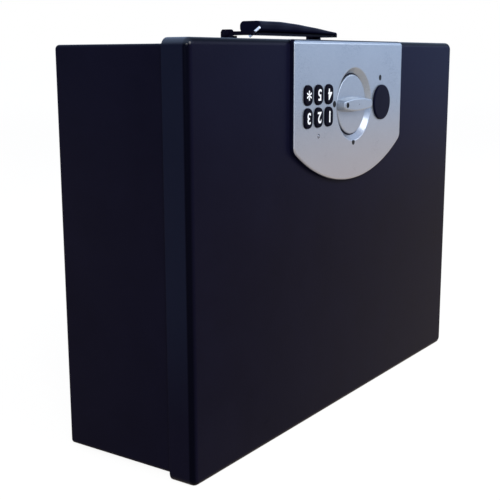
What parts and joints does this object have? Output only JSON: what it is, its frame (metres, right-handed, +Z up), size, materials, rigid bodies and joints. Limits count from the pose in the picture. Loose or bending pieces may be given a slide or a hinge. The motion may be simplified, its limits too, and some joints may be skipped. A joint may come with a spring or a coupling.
{
  "type": "medication lock box",
  "caption": "Portable black steel case with a hinged lid, a dial-and-keypad combination lock on a silver fascia, a capped override lock and a folding carrying handle.",
  "frame": {"origin": "Middle of the part's outline from above, at the height of the lid's lower edge and the bottom feet, on which the case stands.", "axes": "+X to the right along the case's width as one faces the lid, +Y away from the viewer through the case's depth, +Z up towards the handle."},
  "size_m": [0.38, 0.122, 0.2906],
  "materials": {
    "black_paint": "satin powder coat with a fine grain",
    "silver_plastic": "metallic silver paint on plastic",
    "black_plastic": "satin moulded",
    "black_rubber": "matt",
    "zinc_steel": "zinc plated",
    "brass": "machined",
    "grey_plastic": "fine texture",
    "circuit_green": "solder mask",
    "lamp_plastic": "clear smoked lens",
    "red_plastic": "moulded",
    "cell_wrap": "printed film, bare"
  },
  "bodies": {
    "case": {"body_shell": "black_paint", "strike_plate": "zinc_steel", "hinge_leaf_body": "black_paint", "hinge_pin": "zinc_steel", "handle_bracket_left": "black_paint", "handle_bracket_right": "black_paint", "handle_pin_left": "zinc_steel", "handle_pin_right": "zinc_steel", "back_foot_1": "black_rubber", "back_foot_2": "black_rubber", "back_foot_3": "black_rubber", "back_foot_4": "black_rubber", "bottom_foot_left": "black_rubber", "bottom_foot_right": "black_rubber"},
    "handle": {"handle_grip": "black_plastic", "handle_strap": "black_paint"},
    "lid": {"lid_shell": "black_paint", "hinge_leaf_lid": "black_paint", "lock_fascia": "silver_plastic", "fascia_screw_1": "zinc_steel", "fascia_screw_2": "zinc_steel", "fascia_screw_3": "zinc_steel", "fascia_screw_4": "zinc_steel", "status_lamp": "lamp_plastic", "keypad_mat": "black_rubber", "circuit_board": "circuit_green", "board_screw_1": "zinc_steel", "board_screw_2": "zinc_steel", "spindle_bush": "black_plastic", "bolt_guide": "zinc_steel", "solenoid_body": "zinc_steel", "override_cylinder": "zinc_steel", "cylinder_nut": "zinc_steel", "lock_housing": "grey_plastic", "housing_nut_left": "zinc_steel", "housing_nut_right": "zinc_steel", "battery_cradle": "black_plastic", "battery_contact_left": "zinc_steel", "battery_contact_right": "zinc_steel", "battery_1": "cell_wrap", "battery_2": "cell_wrap", "battery_3": "cell_wrap", "battery_4": "cell_wrap"},
    "knob": {"dial_knob": "silver_plastic", "lock_wheel": "zinc_steel", "wheel_screw": "zinc_steel"},
    "bolts": {"bolt_carriage": "zinc_steel", "bolt_left": "zinc_steel", "bolt_right": "zinc_steel"},
    "button_1": {"key_1": "black_rubber"},
    "button_2": {"key_2": "black_rubber"},
    "button_3": {"key_3": "black_rubber"},
    "button_4": {"key_4": "black_rubber"},
    "button_5": {"key_5": "black_rubber"},
    "button_star": {"key_star": "black_rubber"},
    "cap": {"key_cover": "black_plastic"},
    "plug": {"override_plug": "brass"},
    "plunger": {"solenoid_plunger": "zinc_steel"},
    "cell_door": {"battery_door": "grey_plastic"},
    "reset": {"reset_button": "red_plastic"}
  },
  "joints": [
    {"name": "lid_hinge", "type": "hinge", "parent": "case", "child": "lid", "pos_m": [0, -0.0311, 0.0017], "axis": [1, 0, 0], "range_deg": [0, 175]},
    {"name": "handle_swing", "type": "hinge", "parent": "case", "child": "handle", "pos_m": [0, 0.0125, 0.282], "axis": [-1, 0, 0], "range_deg": [0, 140]},
    {"name": "knob_turn", "type": "hinge", "parent": "lid", "child": "knob", "pos_m": [0.0026, -0.053, 0.231], "axis": [0, -1, 0], "range_deg": [0, 90]},
    {"name": "bolt_throw", "type": "slide", "parent": "lid", "child": "bolts", "axis": [0, 0, 1], "range_m": [0, 0.01]},
    {"name": "press_1", "type": "slide", "parent": "lid", "child": "button_1", "axis": [0, 1, 0], "range_m": [0, 0.001], "stiffness_N_per_m": 800},
    {"name": "press_2", "type": "slide", "parent": "lid", "child": "button_2", "axis": [0, 1, 0], "range_m": [0, 0.001], "stiffness_N_per_m": 800},
    {"name": "press_3", "type": "slide", "parent": "lid", "child": "button_3", "axis": [0, 1, 0], "range_m": [0, 0.001], "stiffness_N_per_m": 800},
    {"name": "press_4", "type": "slide", "parent": "lid", "child": "button_4", "axis": [0, 1, 0], "range_m": [0, 0.001], "stiffness_N_per_m": 800},
    {"name": "press_5", "type": "slide", "parent": "lid", "child": "button_5", "axis": [0, 1, 0], "range_m": [0, 0.001], "stiffness_N_per_m": 800},
    {"name": "press_star", "type": "slide", "parent": "lid", "child": "button_star", "axis": [0, 1, 0], "range_m": [0, 0.001], "stiffness_N_per_m": 800},
    {"name": "cap_pull", "type": "slide", "parent": "lid", "child": "cap", "axis": [0, -1, 0], "range_m": [0, 0.015]},
    {"name": "plug_turn", "type": "hinge", "parent": "lid", "child": "plug", "pos_m": [0.045, -0.053, 0.231], "axis": [0, 1, 0], "range_deg": [0, 90]},
    {"name": "plunger_rise", "type": "slide", "parent": "lid", "child": "plunger", "axis": [0, 0, 1], "range_m": [0, 0.0035]},
    {"name": "cell_door_lift", "type": "slide", "parent": "lid", "child": "cell_door", "axis": [0, 1, 0], "range_m": [0, 0.01]},
    {"name": "reset_press", "type": "slide", "parent": "lid", "child": "reset", "axis": [0, -1, 0], "range_m": [0, 0.0008], "stiffness_N_per_m": 800}
  ],
  "couplings": [
    {"joint": "bolt_throw", "follows": "knob_turn", "m_per_rad": 0.006366}
  ]
}
